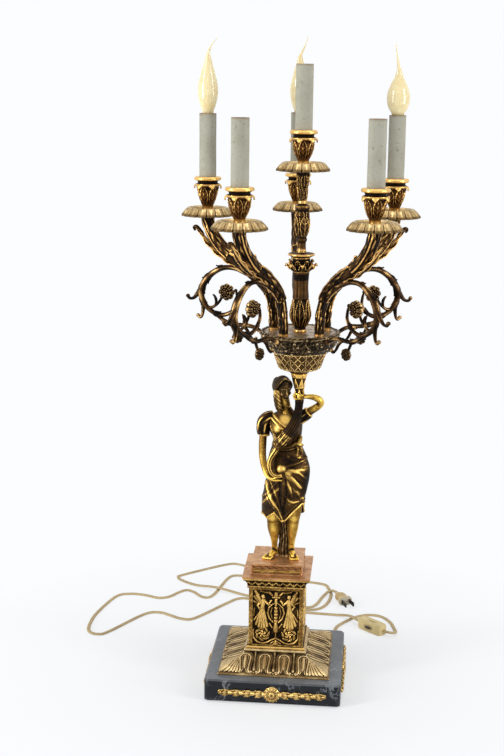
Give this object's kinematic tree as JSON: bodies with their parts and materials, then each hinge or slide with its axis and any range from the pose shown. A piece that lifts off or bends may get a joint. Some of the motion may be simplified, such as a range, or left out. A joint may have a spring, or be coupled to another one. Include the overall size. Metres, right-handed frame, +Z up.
{
  "type": "candelabra table lamp",
  "caption": "Electric candelabra table lamp: a draped standing figure on a stepped square pedestal lifts a horn and basket with leafy arms, drip pans and candle sleeves.",
  "frame": {"origin": "centre of the underside of the felt under the marble slab", "axes": "+Z up; the front of the figure and of the pedestal faces -Y; +X is to the right seen from the front"},
  "size_m": [0.4651, 0.5537, 0.8515],
  "materials": {
    "brass": "antique cast brass, dark in the hollows and rubbed bright on the high parts",
    "copper": "brass plate worn to a reddish copper tone",
    "marble": "polished black marble with pale veins and scuffs",
    "felt": "felt",
    "steel": "plated pipe",
    "sleeve": "off-white candle sleeve with brown specks",
    "socket": "moulded black socket",
    "bulb": "pale yellow dipped flame bulb",
    "cord": "cream flat two-core flex",
    "bushing": "cream strain relief",
    "plug": "cream-pink moulded plug",
    "blades": "dull blades",
    "switch": "cream-yellow moulded shell",
    "wheel": "dark thumb wheel"
  },
  "bodies": {
    "root": {"felt_pad": "felt", "base_slab": "marble", "garland_front": "brass", "garland_right": "brass", "garland_back": "brass", "garland_left": "brass", "leaf_plinth": "brass", "pedestal": "brass", "cornice": "brass", "cap_plate": "copper", "figure_block": "brass", "block_top": "copper", "tie_rod": "steel", "rod_nut": "steel", "figure": "brass", "cornucopia": "brass", "basket": "brass", "wreath": "brass", "basket_cover": "brass", "lower_baluster": "brass", "leaf_collar": "brass", "stem_dish": "brass", "upper_baluster": "brass", "top_vase": "brass", "stem_pipe": "steel", "arm_1": "brass", "arm_2": "brass", "arm_3": "brass", "arm_4": "brass", "arm_5": "brass", "scroll_1": "brass", "scroll_2": "brass", "scroll_3": "brass", "scroll_4": "brass", "scroll_5": "brass", "pan_0": "brass", "pan_1": "brass", "pan_2": "brass", "pan_3": "brass", "pan_4": "brass", "pan_5": "brass", "candle_cups": "brass", "sockets": "socket", "sleeve_1": "sleeve", "sleeve_2": "sleeve", "sleeve_3": "sleeve", "cord_to_switch": "cord", "cord_to_plug": "cord", "cord_bushing": "bushing", "plug_body": "plug", "plug_blades": "blades", "switch_top": "switch", "switch_base": "switch"},
    "switch_wheel": {"switch_wheel": "wheel"},
    "bulb_right": {"bulb_right": "bulb"},
    "bulb_back": {"bulb_back": "bulb"},
    "bulb_left": {"bulb_left": "bulb"},
    "sleeve_centre": {"sleeve_0": "sleeve"},
    "sleeve_front_left": {"sleeve_4": "sleeve"},
    "sleeve_front_right": {"sleeve_5": "sleeve"}
  },
  "joints": [
    {"name": "switch_turn", "type": "hinge", "parent": "root", "child": "switch_wheel", "pos_m": [0.12726, 0.16107, 0.0075], "axis": [0, 0, 1], "continuous": true},
    {"name": "bulb_right_out", "type": "slide", "parent": "root", "child": "bulb_right", "axis": [0, 0, 1], "range_m": [0, 0.03]},
    {"name": "bulb_back_out", "type": "slide", "parent": "root", "child": "bulb_back", "axis": [0, 0, 1], "range_m": [0, 0.03]},
    {"name": "bulb_left_out", "type": "slide", "parent": "root", "child": "bulb_left", "axis": [0, 0, 1], "range_m": [0, 0.03]},
    {"name": "sleeve_centre_off", "type": "slide", "parent": "root", "child": "sleeve_centre", "axis": [0, 0, 1], "range_m": [0, 0.1]},
    {"name": "sleeve_front_left_off", "type": "slide", "parent": "root", "child": "sleeve_front_left", "axis": [0, 0, 1], "range_m": [0, 0.1]},
    {"name": "sleeve_front_right_off", "type": "slide", "parent": "root", "child": "sleeve_front_right", "axis": [0, 0, 1], "range_m": [0, 0.1]}
  ]
}
